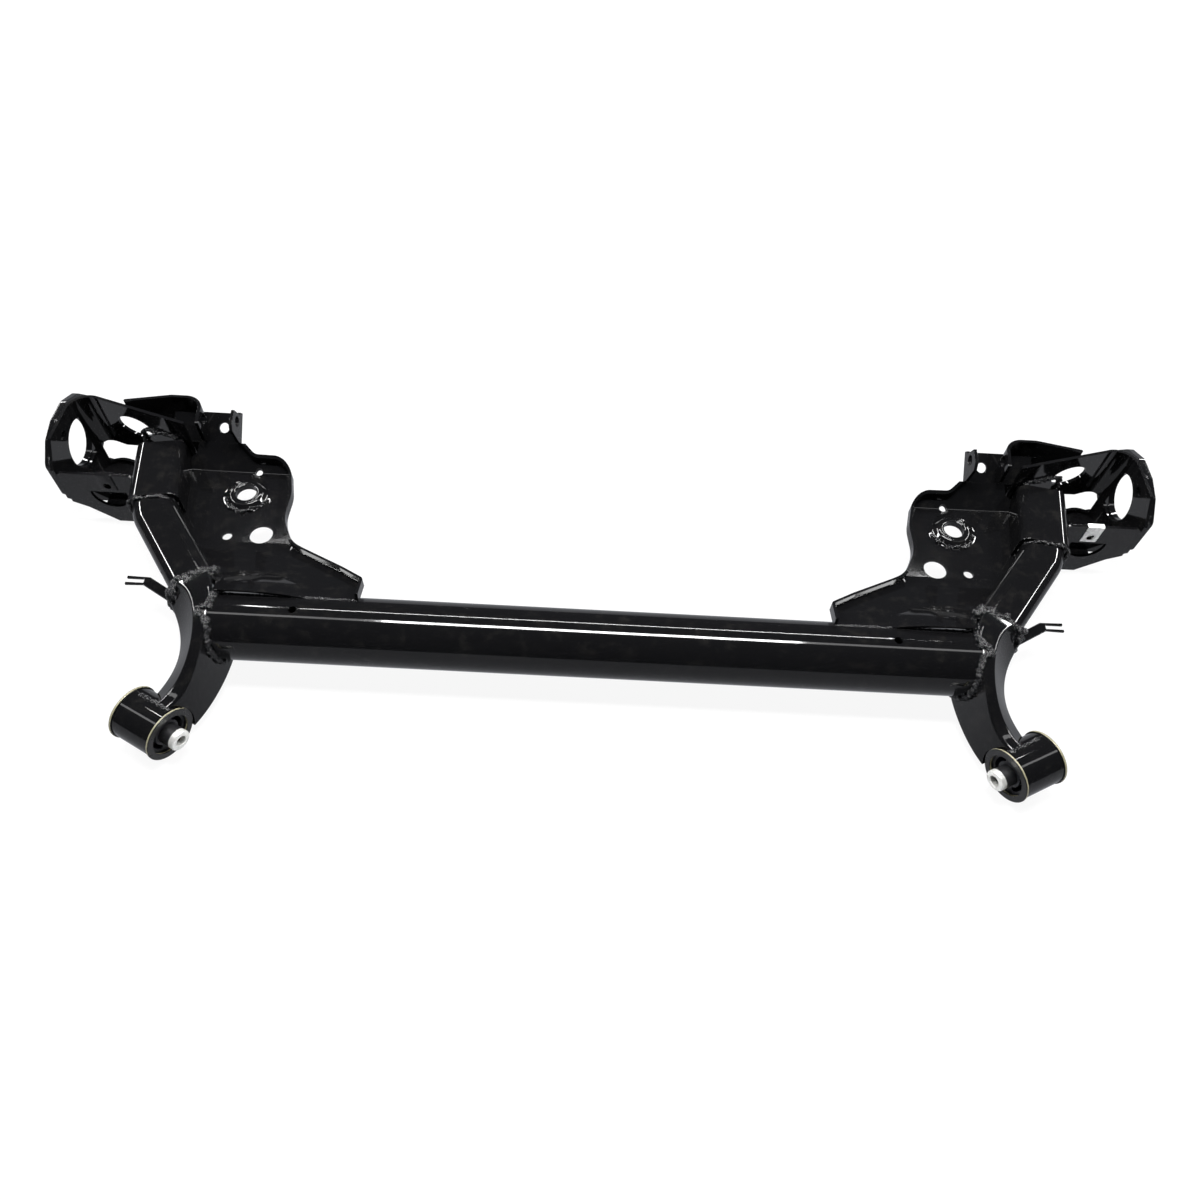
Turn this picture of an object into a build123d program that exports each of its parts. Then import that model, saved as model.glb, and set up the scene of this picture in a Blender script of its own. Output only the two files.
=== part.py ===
"""Rear torsion beam axle: a crushed tube beam with a welded trailing arm assembly at each end."""
from build123d import *
import os
from math import cos, radians, sin

# Frame: X runs across the axle to the vehicle's left, Y to its rear, Z up. The floor is Z = 0.
# Every piece of the left hand assembly is modelled at +X and mirrored for the right hand one.

# Overall layout. Every place across the axle is measured inboard of the hub plate's outer face,
# and a cut that runs right through a piece goes beyond it by the same distance.
overall_width = 1360.0
beyond = 200.0
hub_height = 66.0
hub_plate_thickness = 8.0
sheet = 4.0

# Torsion beam
beam_radius = 39.0
beam_wall = 3.6
beam_end_inboard = 244.0
beam_height = 55.0
beam_ahead_of_hub = 260.0
crush_half_length = 190.0
crush_transition = 130.0
crush_mouth_angle = 42.0
crush_lip_angle = 26.0
crush_lip_rise = 9.0
crush_ceiling = 28.0
beam_hole_radius = 4.5
beam_hole_past_crush = 16.0

# Bush and its housing
bush_inboard = 203.0
bush_ahead_of_hub = 375.0
bush_yaw = 27.3
housing_radius = 29.5
housing_wall = 4.0
housing_length = 50.0
shell_wall = 2.0
shell_rim_radius = 31.0
shell_rim = 3.0
rim_clearance = 1.0
rubber_recess = 5.0
sleeve_radius = 12.0
sleeve_bore_radius = 6.1
sleeve_inner_reach = 15.0
sleeve_outer_reach = 4.0
void_width = 5.0
void_half_angle = 38.0

# Front arm: plan stations along its middle line, from the rear arm to the bush
front_arm_wall = 4.5
front_arm_ridge = 4.0
mouth_notch = (17.0, 12.0)

# Rear arm tube
arm_width = 52.0
arm_depth = 60.0
arm_corner = 15.0
arm_wall = 4.0
arm_height = 58.0
arm_bend_radius = 50.0
arm_start = (227.0, -230.0)
arm_bend = (142.0, -116.0)
arm_end = (124.0, -16.0)

# Hub plate
hub_bore_radius = 30.0
hub_bolt_radius = 5.3
hub_bolt_spacing_y = 50.0
hub_bolt_spacing_z = 72.0
plate_front = 68.0
plate_rear = 60.0
plate_half_height = 54.0
plate_corner = 10.0

# Hub bracket: a pressing with a web against the hub plate and an oblique rear wall
rear_wall_corner = 36.0
rear_wall_angle = 17.0
rear_wall_run = 156.0
rear_wall_bend = 24.0
floor_flange = 28.0
web_margin = 2.5

# Front wall of the hub bracket, with its clip nut
front_wall_ahead = 71.0
front_wall_top = 86.0
front_wall_inboard = 106.0
front_wall_foot = 134.0
front_wall_step = 36.0
wall_arch_inboard = 65.0
wall_arch_half = 22.0
wall_arch_top = 56.0
wall_arch_depth = 28.0
clip_inboard = 69.0
clip_width = 20.0
clip_drop = 33.0
clip_sheet = 1.2
clip_hole_radius = 3.4
clip_hole_drop = 18.0
clip_nut_radius = 6.5
clip_nut_length = 7.0

# Damper bracket and clevis
damper_ear_inboard = 175.0
damper_gap = 40.0
damper_back = 8.0
damper_height = 109.0
damper_hole_radius = 6.5
cup_top = 124.0
cup_bottom = 68.0
cup_back = 32.0
cup_start = (81.0, 20.0)
cup_knee = 135.0
ear_front = -16.0
ledge_low = (1.0, 77.0)
ledge_high = (31.0, 100.3)
drain_radius = 6.5
ledge_reach = 42.0

# Spring pan
pan_sheet = 3.5
pan_height = 52.0
pan_rim = 9.0
pan_rear_fold = -27.0
pan_front_fold = -150.0
pan_beam_edge = -229.0
pan_beam_height = 81.0
beam_overlap = 12.0
seat_inboard = 237.0
seat_back = -68.0
seat_radius = 30.0
seat_rise = 7.0
seat_hole_radius = 12.5
dome_inboard = 280.0
dome_back = -264.0
dome_radius = 78.0
dome_rise = 10.0
seat_foot = 4.0
seat_slope = 7.0
pan_drain = (268.0, -127.0)
pan_drain_radius = 14.0
pan_pilot = (228.0, -132.0)
pan_pilot_radius = 6.0
pan_locator = (242.0, -28.0)
pan_locator_radius = 4.5

# Saddle over the rear arm, and the brake line bracket
saddle_front = -102.0
saddle_inboard = (190.0, 90.0)
saddle_depth = 40.0
saddle_corner = 12.0
fork_height = 45.0
fork_thickness = 3.0
fork_foot = (208.0, -234.0)
fork_root = (149.0, -199.0)
fork_reach = 24.0
fork_width = 12.0
fork_slot = 6.0

# Derived places
bracket_top = hub_height + plate_half_height
bush_height = shell_rim_radius
plate_outer = overall_width / 2
web_outer = plate_outer - hub_plate_thickness
beam_end = plate_outer - beam_end_inboard
bush_station = plate_outer - bush_inboard
damper_ear_station = plate_outer - damper_ear_inboard
clip_station = plate_outer - clip_inboard
yaw = radians(bush_yaw)
bush_reach = bush_ahead_of_hub + (housing_length / 2 + shell_rim) * sin(yaw) + shell_rim_radius * cos(yaw)
hub_y = (bush_reach - plate_rear) / 2
beam_y = hub_y - beam_ahead_of_hub
bush_y = hub_y - bush_ahead_of_hub
front_wall_y = hub_y - front_wall_ahead
wall_along = Vector(-cos(radians(rear_wall_angle)), -sin(radians(rear_wall_angle)), 0)
wall_corner = Vector(web_outer - sheet / 2, hub_y + rear_wall_corner, 0)
wall_end = wall_corner + wall_along * rear_wall_run
bush_plane = Plane(origin=(bush_station, bush_y, bush_height), x_dir=(sin(yaw), -cos(yaw), 0),
                   z_dir=(-cos(yaw), -sin(yaw), 0))

pieces = []


def finish(name, part):
    """Keep a left hand piece and its mirror image on the right hand side."""
    pieces.append((name + "_left", part))
    pieces.append((name + "_right", mirror(part, about=Plane.YZ)))


def plan(inboard, back):
    """Return a plan point from its distances inboard of the hub face and behind the hub."""
    return (plate_outer - inboard, hub_y + back)


def behind(back, z):
    """Return a side view point from its distance behind the hub and its height."""
    return (hub_y + back, z)


def rounded(points, radius):
    """Make a face with all its corners rounded by one radius."""
    with BuildSketch() as outline:
        with BuildLine():
            Polyline(*points, close=True)
        make_face()
        fillet(outline.vertices(), radius)
    return outline.sketch


# Torsion beam: round at its ends, its underside pushed up into a deep groove in the middle
def beam_section(station, ceiling):
    """Draw the tube's outer section with its underside at the given height."""
    depth = (ceiling + beam_radius) / (crush_ceiling + beam_radius)
    mouth = radians(crush_mouth_angle)
    lip = radians(crush_lip_angle)
    turn = (mouth + lip) / 2
    side = beam_radius * sin(mouth), -beam_radius * cos(mouth)
    edge = beam_radius * sin(turn), -beam_radius * cos(turn)
    groove = beam_radius * sin(lip), -beam_radius * cos(lip) + crush_lip_rise * depth
    with BuildSketch(Plane(origin=(station, beam_y, beam_height), x_dir=(0, 1, 0), z_dir=(1, 0, 0))) as section:
        with BuildLine():
            ThreePointArc((-side[0], side[1]), (0, beam_radius), side)
            ThreePointArc(side, edge, groove)
            ThreePointArc(groove, (0, ceiling), (-groove[0], groove[1]))
            ThreePointArc((-groove[0], groove[1]), (-edge[0], edge[1]), (-side[0], side[1]))
        make_face()
    return section.sketch


crush_end = crush_half_length + crush_transition
beam_hole_station = crush_end + beam_hole_past_crush
crush_steps = [(0.0, crush_ceiling), (0.35, 0.4 * crush_ceiling), (0.77, -0.7 * beam_radius), (1.0, -beam_radius)]
with BuildPart() as torsion_beam:
    loft(sections=[beam_section(-crush_half_length, crush_ceiling), beam_section(crush_half_length, crush_ceiling)],
         ruled=True)
    for side in (-1, 1):
        loft(sections=[beam_section(side * (crush_half_length + share * crush_transition), ceiling)
                       for share, ceiling in crush_steps])
        loft(sections=[beam_section(side * crush_end, -beam_radius), beam_section(side * beam_end, -beam_radius)],
             ruled=True)
        with BuildSketch(Plane(origin=(side * beam_end, beam_y, beam_height), z_dir=(-side, 0, 0))):
            Circle(beam_radius - beam_wall)
        extrude(amount=beam_end - crush_end, mode=Mode.SUBTRACT)
    with BuildSketch(Plane.XY.offset(beam_height)):
        with Locations((-beam_hole_station, beam_y), (beam_hole_station, beam_y)):
            Circle(beam_hole_radius)
    extrude(amount=2 * beam_radius, mode=Mode.SUBTRACT)

with BuildPart() as beam_core:
    with BuildSketch(Plane(origin=(0, beam_y, beam_height), z_dir=(1, 0, 0))):
        Circle(beam_radius)
    extrude(amount=beam_end)

# Bush: housing tube, flanged outer shell, rubber with two voids, and a through sleeve
with BuildPart() as bush_housing:
    with BuildSketch(bush_plane):
        Circle(housing_radius)
        Circle(housing_radius - housing_wall, mode=Mode.SUBTRACT)
    extrude(amount=housing_length / 2, both=True)

with BuildPart() as housing_core:
    with BuildSketch(bush_plane):
        Circle(housing_radius)
    extrude(amount=housing_length / 2, both=True)
    for end in (-1, 1):
        with BuildSketch(bush_plane.offset(end * housing_length / 2)):
            Circle(shell_rim_radius + rim_clearance)
        extrude(amount=end * housing_length)

shell_radius = housing_radius - housing_wall
shell_half = housing_length / 2 + shell_rim
with BuildPart() as bush_outer_shell:
    with BuildSketch(bush_plane):
        Circle(shell_radius)
    extrude(amount=shell_half, both=True)
    for end in (-1, 1):
        with BuildSketch(bush_plane.offset(end * housing_length / 2)):
            Circle(shell_rim_radius)
        extrude(amount=end * shell_rim)
    with BuildSketch(bush_plane):
        Circle(shell_radius - shell_wall)
    extrude(amount=shell_half, both=True, mode=Mode.SUBTRACT)
    fillet(bush_outer_shell.edges().filter_by(GeomType.CIRCLE).group_by(SortBy.RADIUS)[-1], shell_rim / 3)

rubber_radius = shell_radius - shell_wall
rubber_half = shell_half - rubber_recess
void_middle = (sleeve_radius + rubber_radius) / 2
with BuildPart() as bush_rubber:
    with BuildSketch(bush_plane):
        Circle(rubber_radius)
        Circle(sleeve_radius, mode=Mode.SUBTRACT)
        for centre in (0, 180):
            with BuildLine(mode=Mode.PRIVATE) as void_line:
                CenterArc((0, 0), void_middle, centre - void_half_angle, 2 * void_half_angle)
            with BuildLine() as void_edge:
                add(void_line.line)
                offset(amount=void_width / 2)
            make_face(mode=Mode.SUBTRACT)
    extrude(amount=rubber_half, both=True)

sleeve_near = shell_half + sleeve_inner_reach
sleeve_far = shell_half + sleeve_outer_reach
with BuildPart() as bush_inner_sleeve:
    with BuildSketch(bush_plane.offset(-sleeve_far)):
        Circle(sleeve_radius)
        Circle(sleeve_bore_radius, mode=Mode.SUBTRACT)
    extrude(amount=sleeve_near + sleeve_far)
    chamfer(bush_inner_sleeve.edges().filter_by(GeomType.CIRCLE).group_by(SortBy.RADIUS)[-1], 1.0)

# Rear arm: a rounded rectangular tube, bent towards the hub
arm_run = Vector(*plan(*arm_bend), 0) - Vector(*plan(*arm_start), 0)
arm_plane = Plane(origin=(*plan(*arm_start), arm_height), x_dir=(arm_run.Y, -arm_run.X, 0), z_dir=arm_run)
with BuildLine() as arm_line:
    FilletPolyline(*[(*plan(*point), arm_height) for point in (arm_start, arm_bend, arm_end)],
                   radius=arm_bend_radius)


def arm_bar(width, depth, corner):
    """Sweep a rounded rectangle along the rear arm's middle line."""
    with BuildPart() as bar:
        with BuildSketch(arm_plane):
            RectangleRounded(width, depth, corner)
        sweep(path=arm_line.line)
    return bar.part


arm_core = arm_bar(arm_width, arm_depth, arm_corner)
arm_bore = arm_bar(arm_width - 2 * arm_wall, arm_depth - 2 * arm_wall, arm_corner - arm_wall)
with BuildPart() as rear_arm:
    add(arm_core)
    add(arm_bore, mode=Mode.SUBTRACT)
    with BuildSketch():
        with BuildLine():
            Polyline((wall_corner.X, wall_corner.Y), (wall_end.X, wall_end.Y), (wall_end.X - sheet, hub_y + beyond),
                     (plate_outer, hub_y + beyond), close=True)
        make_face()
        offset(amount=sheet / 2)
    extrude(amount=2 * cup_top, mode=Mode.SUBTRACT)

# Front arm: a pressed channel, open underneath, with a narrow ridge along its inner side
front_arm_stations = [
    # inboard, back, heading, inner foot, inner ridge, outer ridge, shoulder, foot, ridge height, shoulder height
    (215.0, -228.0, 33.0, -35.0, -27.0, 6.0, 24.0, 18.0, 94.0, 72.0),
    (227.0, -254.0, 20.0, -34.0, -26.0, -4.0, 21.0, 14.0, 96.5, 62.0),
    (239.0, -290.0, 6.0, -23.0, -14.0, -2.0, 22.0, 13.0, 88.0, 54.0),
    (233.0, -325.0, -12.0, -23.0, -15.0, -3.0, 20.0, 13.0, 70.0, 46.0),
    (215.0, -364.0, -26.0, -24.0, -14.0, -1.0, 20.0, 12.0, 58.0, 40.0),
]


def arm_section(station, inset, drop):
    """Draw the front arm's five sided section, shrunk by its wall and dropped through its floor."""
    inboard, back, heading, foot_in, ridge_in, ridge_out, shoulder, floor, top, side = station
    turn = radians(heading)
    plane = Plane(origin=(*plan(inboard, back), 0), x_dir=(cos(turn), -sin(turn), 0), z_dir=(-sin(turn), -cos(turn), 0))
    with BuildSketch(plane) as section:
        with BuildLine():
            Polyline((foot_in + inset, floor - drop), (ridge_in + inset, top - inset),
                     (ridge_out - inset / 2, top - inset), (shoulder - inset, side),
                     (shoulder - inset, floor - drop), close=True)
        make_face()
        fillet(section.vertices().sort_by(Axis.Y)[-2:], front_arm_ridge - inset / 2)
        fillet(section.vertices().sort_by(Axis.Y)[2], 2 * front_arm_ridge)
    return section.sketch


with BuildPart() as front_arm_core:
    loft(sections=[arm_section(station, 0, 0) for station in front_arm_stations])

with BuildPart() as front_arm:
    add(front_arm_core.part)
    loft(sections=[arm_section(station, front_arm_wall, housing_radius) for station in front_arm_stations],
         mode=Mode.SUBTRACT)
    add(arm_core, mode=Mode.SUBTRACT)
    with BuildSketch(arm_plane):
        with Locations((mouth_notch[0], -mouth_notch[1])):
            Rectangle(arm_width, arm_depth, align=(Align.MIN, Align.MAX))
    extrude(amount=arm_depth, mode=Mode.SUBTRACT)
    add(housing_core.part, mode=Mode.SUBTRACT)

beam = torsion_beam.part - front_arm_core.part - mirror(front_arm_core.part, about=Plane.YZ)

# Hub plate: machined, with the hub's spigot bore and four bolt holes
plate_outline = [
    behind(-plate_front, hub_height - 26), behind(-plate_front, hub_height + 26), behind(-44, hub_height + 46),
    behind(-18, hub_height + plate_half_height), behind(16, hub_height + plate_half_height),
    behind(44, hub_height + 42), behind(plate_rear, hub_height + 24), behind(plate_rear, hub_height - 24),
    behind(44, hub_height - 44), behind(16, hub_height - plate_half_height),
    behind(-18, hub_height - plate_half_height), behind(-44, hub_height - 46)]
hub_plane = Plane(origin=(plate_outer, 0, 0), x_dir=(0, 1, 0), z_dir=(1, 0, 0))
with BuildPart() as hub_plate:
    with BuildSketch(hub_plane):
        add(rounded(plate_outline, plate_corner))
        with Locations((hub_y, hub_height)):
            Circle(hub_bore_radius, mode=Mode.SUBTRACT)
            with GridLocations(hub_bolt_spacing_y, hub_bolt_spacing_z, 2, 2):
                Circle(hub_bolt_radius, mode=Mode.SUBTRACT)
    extrude(amount=-hub_plate_thickness)

# Hub bracket: web, rear wall with an oval hole and a window, and a return flange at the floor
web_outline = [
    behind(-front_wall_ahead - sheet / 2, hub_height - 26), behind(-front_wall_ahead - sheet / 2, hub_height + 24),
    behind(-48, bracket_top), behind(plate_rear, bracket_top), behind(plate_rear, 0), behind(-48, 0)]
wall_plane = Plane(origin=wall_corner, x_dir=wall_along, z_dir=wall_along.cross(Vector(0, 0, 1)))
with BuildPart() as hub_bracket:
    with BuildSketch():
        with BuildLine():
            web_start = (wall_corner.X, front_wall_y - sheet / 2)
            FilletPolyline(web_start, (wall_corner.X, wall_corner.Y), (wall_end.X, wall_end.Y),
                           radius=rear_wall_bend)
            offset(amount=sheet / 2)
        make_face()
    extrude(amount=bracket_top)
    with BuildSketch():
        with BuildLine():
            Polyline((web_outer, wall_corner.Y - rear_wall_bend), (web_outer - sheet, wall_corner.Y - sheet),
                     (wall_end.X, wall_end.Y), (wall_end.X, wall_end.Y - floor_flange),
                     (web_outer, wall_corner.Y - rear_wall_bend - floor_flange), close=True)
        make_face()
    extrude(amount=sheet)
    with BuildSketch(hub_plane):
        with BuildLine():
            Polyline(*web_outline, close=True)
        make_face()
    extrude(amount=-overall_width / 2, mode=Mode.INTERSECT)
    with BuildSketch(Plane(origin=(plate_outer, hub_y, hub_height), x_dir=(0, 1, 0), z_dir=(1, 0, 0))):
        Circle(hub_bore_radius + web_margin)
        with GridLocations(hub_bolt_spacing_y, hub_bolt_spacing_z, 2, 2):
            Circle(hub_bolt_radius + 1)
    extrude(amount=-hub_plate_thickness - 1.5 * sheet, mode=Mode.SUBTRACT)
    with BuildSketch(wall_plane):
        with Locations((77, 87)):
            Ellipse(24, 15.5)
        with BuildLine():
            Polyline((6, 8), (80, 8), (80, 50), (70, 50), (46, 43), (20, 45), (8, 40), close=True)
        make_face()
    extrude(amount=3 * sheet, both=True, mode=Mode.SUBTRACT)

# Saddle: a short cover over the rear arm inside the hub bracket
with BuildPart() as arm_saddle:
    add(arm_bar(arm_width + 2 * sheet, arm_depth + 2 * sheet, saddle_corner))
    add(arm_core, mode=Mode.SUBTRACT)
    with BuildSketch(Plane.XY.offset(arm_height + arm_depth / 2 + 2 * sheet - saddle_depth)):
        with BuildLine():
            Polyline(plan(saddle_inboard[0], saddle_front + 6), plan(saddle_inboard[1], saddle_front - 8), (wall_corner.X, wall_corner.Y),
                     (wall_end.X, wall_end.Y), close=True)
        make_face()
    extrude(amount=saddle_depth, mode=Mode.INTERSECT)
    add(hub_bracket.part, mode=Mode.SUBTRACT)

# Front wall of the hub bracket
web_inner = web_outer - sheet
wall_foot = plate_outer - front_wall_foot
wall_side = plate_outer - front_wall_inboard
arch_middle = plate_outer - wall_arch_inboard
with BuildPart() as hub_front_wall:
    with BuildSketch(Plane(origin=(0, front_wall_y, 0), x_dir=(1, 0, 0), z_dir=(0, -1, 0))) as wall_face:
        with BuildLine():
            Polyline((web_inner, front_wall_top), (web_inner, 34), (web_inner - 17, 25), (web_inner - 47, 0),
                     (wall_foot, 0), (wall_foot, front_wall_step), (wall_side, front_wall_step),
                     (wall_side, front_wall_top), close=True)
        make_face()
        fillet(wall_face.vertices().group_by(Axis.Y)[-1], 6)
        with BuildLine():
            Line((arch_middle - wall_arch_half, wall_arch_top), (arch_middle + wall_arch_half, wall_arch_top))
            ThreePointArc((arch_middle + wall_arch_half, wall_arch_top), (arch_middle, wall_arch_top - wall_arch_depth),
                          (arch_middle - wall_arch_half, wall_arch_top))
        make_face(mode=Mode.SUBTRACT)
        with Locations((clip_station, front_wall_top - clip_hole_drop)):
            Circle(clip_hole_radius + 2, mode=Mode.SUBTRACT)
    extrude(amount=sheet / 2, both=True)
    add(arm_core, mode=Mode.SUBTRACT)
    add(arm_saddle.part, mode=Mode.SUBTRACT)

# Clip nut, pushed over the front wall's top edge
half = sheet / 2
clip_plane = Plane(origin=(clip_station - clip_width / 2, front_wall_y, front_wall_top),
                   x_dir=(0, 1, 0), z_dir=(1, 0, 0))
with BuildPart() as clip_nut:
    with BuildSketch(clip_plane):
        with BuildLine():
            Polyline((-half, -clip_drop), (-half, 0), (half, 0), (half, -clip_drop * 0.8),
                     (half + clip_sheet, -clip_drop * 0.8), (half + clip_sheet, clip_sheet),
                     (-half - clip_sheet, clip_sheet), (-half - clip_sheet, -clip_drop), close=True)
        make_face()
    extrude(amount=clip_width)
    with BuildSketch(Plane(origin=(clip_station, front_wall_y + half + clip_sheet, front_wall_top - clip_hole_drop),
                           x_dir=(1, 0, 0), z_dir=(0, 1, 0))):
        Circle(clip_nut_radius)
    extrude(amount=clip_nut_length)
    with BuildSketch(Plane(origin=(clip_station, front_wall_y, front_wall_top - clip_hole_drop),
                           x_dir=(1, 0, 0), z_dir=(0, 1, 0))):
        Circle(clip_hole_radius)
    extrude(amount=2 * clip_nut_length + half, both=True, mode=Mode.SUBTRACT)

# Damper clevis: a sloping ledge with a drain hole, bent up into the inner ear
ledge = Vector(0, ledge_high[0] - ledge_low[0], ledge_high[1] - ledge_low[1])
ledge_plane = Plane(origin=(0, *behind(*ledge_low)), x_dir=(-1, 0, 0), z_dir=ledge)
inner_ear = damper_ear_station - damper_gap - sheet / 2
with BuildPart() as damper_clevis_plate:
    with BuildSketch(ledge_plane):
        with BuildLine():
            FilletPolyline((-damper_ear_station - ledge_reach, -sheet / 2), (-inner_ear, -sheet / 2), (-inner_ear, 62),
                           radius=6)
            offset(amount=sheet / 2)
        make_face()
    extrude(amount=ledge.length)
    with BuildSketch(hub_plane):
        with BuildLine():
            Polyline(behind(-2, 70), behind(-12, 112), behind(-7, 120), behind(12, 125), behind(21, 108),
                     behind(46, 105), behind(46, 70), close=True)
        make_face()
    extrude(amount=-overall_width / 2, mode=Mode.INTERSECT)
    with BuildSketch(Plane(origin=(inner_ear, hub_y + damper_back, damper_height), z_dir=(1, 0, 0))):
        Circle(damper_hole_radius)
    extrude(amount=2 * sheet, both=True, mode=Mode.SUBTRACT)
    with BuildSketch(Plane(origin=(damper_ear_station - damper_gap / 2, *behind(16, 88.7)),
                           z_dir=(0, -ledge.Z, ledge.Y))):
        Circle(drain_radius)
    extrude(amount=2 * sheet, both=True, mode=Mode.SUBTRACT)
    add(hub_bracket.part, mode=Mode.SUBTRACT)

# Damper bracket: a curved wall behind the hub bracket, ending in the outer ear
ear_outline = [behind(-7, 88), behind(-7, 118), behind(8, cup_top), behind(beyond, cup_top), behind(beyond, cup_bottom),
               behind(8, cup_bottom)]
with BuildPart() as damper_bracket:
    with BuildSketch(Plane.XY.offset(cup_bottom)):
        with BuildLine():
            FilletPolyline(plan(*cup_start), plan(cup_knee, cup_back), plan(damper_ear_inboard, cup_back),
                           plan(damper_ear_inboard, ear_front), radius=[14, 22])
            offset(amount=sheet / 2)
        make_face()
    extrude(amount=cup_top - cup_bottom)
    with BuildSketch(hub_plane):
        with BuildLine():
            Polyline(*ear_outline, close=True)
        make_face()
    extrude(amount=-overall_width / 2, mode=Mode.INTERSECT)
    with BuildSketch(Plane(origin=(damper_ear_station, hub_y + damper_back, damper_height), z_dir=(1, 0, 0))):
        Circle(damper_hole_radius)
    extrude(amount=2 * sheet, both=True, mode=Mode.SUBTRACT)
    add(hub_bracket.part, mode=Mode.SUBTRACT)
    add(damper_clevis_plate.part, mode=Mode.SUBTRACT)

# Spring pan: a folded plate with an upturned rim, a spring seat, holes and a dome beside the beam
pan_fold = [behind(*ledge_low), behind(pan_rear_fold, pan_height), behind(pan_front_fold, pan_height),
            behind(pan_beam_edge - beam_overlap, pan_beam_height + 0.37 * beam_overlap)]
pan_edge = [plan(217, 30), plan(218, 0), plan(239, -16.5), plan(282, -17), plan(294, -66), plan(293, -106),
            plan(310, -142), plan(382, -186), plan(411, -206), plan(413, -250)]
pan_edge_radii = [3, 14, 24, 60, 60, 40, 60, 8]
pan_fold_radii = [10, 60]
pan_back = [plan(254, -245), plan(248, -222), plan(*arm_bend), plan(132, -30), plan(damper_ear_inboard - 12, -12),
            plan(damper_ear_inboard - 2, 30)]


def pan_body(thickness):
    """Extrude the pan's folded side view to a thickness above its underside."""
    with BuildPart() as folded:
        with BuildSketch(hub_plane):
            with BuildLine():
                low = FilletPolyline(*pan_fold, radius=pan_fold_radii)
                offset(low, amount=thickness, side=Side.RIGHT)
            make_face()
        extrude(amount=-overall_width / 2)
    return folded.part


def pan_edge_line():
    """Draw the pan's free edge in plan, from the clevis round to the beam."""
    return FilletPolyline(*pan_edge, radius=pan_edge_radii)


fold_tilt = Vector(0, pan_beam_edge - pan_front_fold, pan_beam_height - pan_height).normalized()
dome_base = pan_height + pan_sheet + (dome_back - pan_front_fold) * fold_tilt.Z / fold_tilt.Y
dome_sphere = (dome_radius ** 2 + dome_rise ** 2) / (2 * dome_rise)
dome_centre = Vector(*plan(dome_inboard, dome_back), dome_base)
dome_centre += Vector(0, fold_tilt.Z, -fold_tilt.Y) * (dome_rise - dome_sphere)
with BuildPart() as pan_lip:
    add(pan_body(pan_sheet + pan_rim))
    with BuildSketch():
        with BuildLine():
            offset(pan_edge_line(), amount=pan_sheet, side=Side.LEFT)
        make_face()
    extrude(amount=2 * cup_top, mode=Mode.INTERSECT)

with BuildPart() as pan_dome:
    with Locations(dome_centre):
        Sphere(dome_sphere)
    with BuildSketch():
        with Locations(plan(dome_inboard, dome_back)):
            Circle(1.2 * dome_radius)
    extrude(amount=2 * cup_top, mode=Mode.INTERSECT)
    with BuildSketch(hub_plane):
        with BuildLine():
            low = FilletPolyline(*pan_fold, radius=pan_fold_radii)
            Polyline(low @ 1, behind(pan_beam_edge - beam_overlap, 2 * cup_top), behind(ledge_high[0], 2 * cup_top),
                     low @ 0)
        make_face()
    extrude(amount=-overall_width / 2, mode=Mode.INTERSECT)

with BuildPart() as spring_pan:
    add(pan_body(pan_sheet))
    add(pan_dome.part)
    with BuildSketch():
        with BuildLine():
            edge = pan_edge_line()
            Polyline(edge @ 1, *pan_back, edge @ 0)
        make_face()
    extrude(amount=2 * cup_top, mode=Mode.INTERSECT)
    add(pan_lip.part)
    with Locations(dome_centre):
        Sphere(dome_sphere - pan_sheet, mode=Mode.SUBTRACT)
    with BuildSketch(Plane.XY.offset(pan_height - seat_rise)):
        with Locations(plan(seat_inboard, seat_back)):
            Circle(seat_radius)
        with Locations(plan(*pan_drain)):
            Circle(pan_drain_radius)
        with Locations(plan(*pan_pilot)):
            Circle(pan_pilot_radius)
        with Locations(plan(*pan_locator)):
            Circle(pan_locator_radius)
    extrude(amount=4 * seat_rise, mode=Mode.SUBTRACT)
    with BuildSketch(Plane(origin=(*plan(seat_inboard, seat_back), pan_height), x_dir=(1, 0, 0), z_dir=(0, -1, 0))):
        with BuildLine():
            toe = seat_radius - seat_foot
            crown = toe - seat_slope
            Polyline((seat_radius, 0), (seat_radius, pan_sheet), (toe, pan_sheet), (crown, seat_rise + pan_sheet),
                     (seat_hole_radius, seat_rise + pan_sheet), (seat_hole_radius, seat_rise),
                     (crown - 2, seat_rise), (toe - 2, 0), close=True)
        make_face()
    revolve(axis=Axis(origin=(*plan(seat_inboard, seat_back), 0), direction=(0, 0, 1)))
    for neighbour in (arm_core, beam_core.part, beam, arm_saddle.part, front_arm.part, hub_bracket.part,
                      damper_bracket.part, damper_clevis_plate.part):
        add(neighbour, mode=Mode.SUBTRACT)

# Brake line bracket: a flat tab on the rear arm, forked at its end
fork_along = Vector(fork_foot[0] - fork_root[0], fork_root[1] - fork_foot[1]).normalized()
fork_side = Vector(-fork_along.Y, fork_along.X) * fork_width / 2
with BuildPart() as brake_line_bracket:
    with BuildSketch(Plane.XY.offset(fork_height)):
        with BuildLine():
            foot = Vector(*plan(*fork_foot))
            root = Vector(*plan(*fork_root))
            tip = root + Vector(fork_reach, 0)
            Polyline(foot + fork_side, root + fork_side, tip + Vector(0, fork_width / 2),
                     tip + Vector(0, fork_slot / 2), root + Vector(fork_slot / 2, fork_slot / 2),
                     root + Vector(fork_slot / 2, -fork_slot / 2), tip + Vector(0, -fork_slot / 2),
                     tip + Vector(0, -fork_width / 2), root - fork_side, foot - fork_side, close=True)
        make_face()
    extrude(amount=fork_thickness)
    add(arm_core, mode=Mode.SUBTRACT)
    add(front_arm.part, mode=Mode.SUBTRACT)

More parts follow.
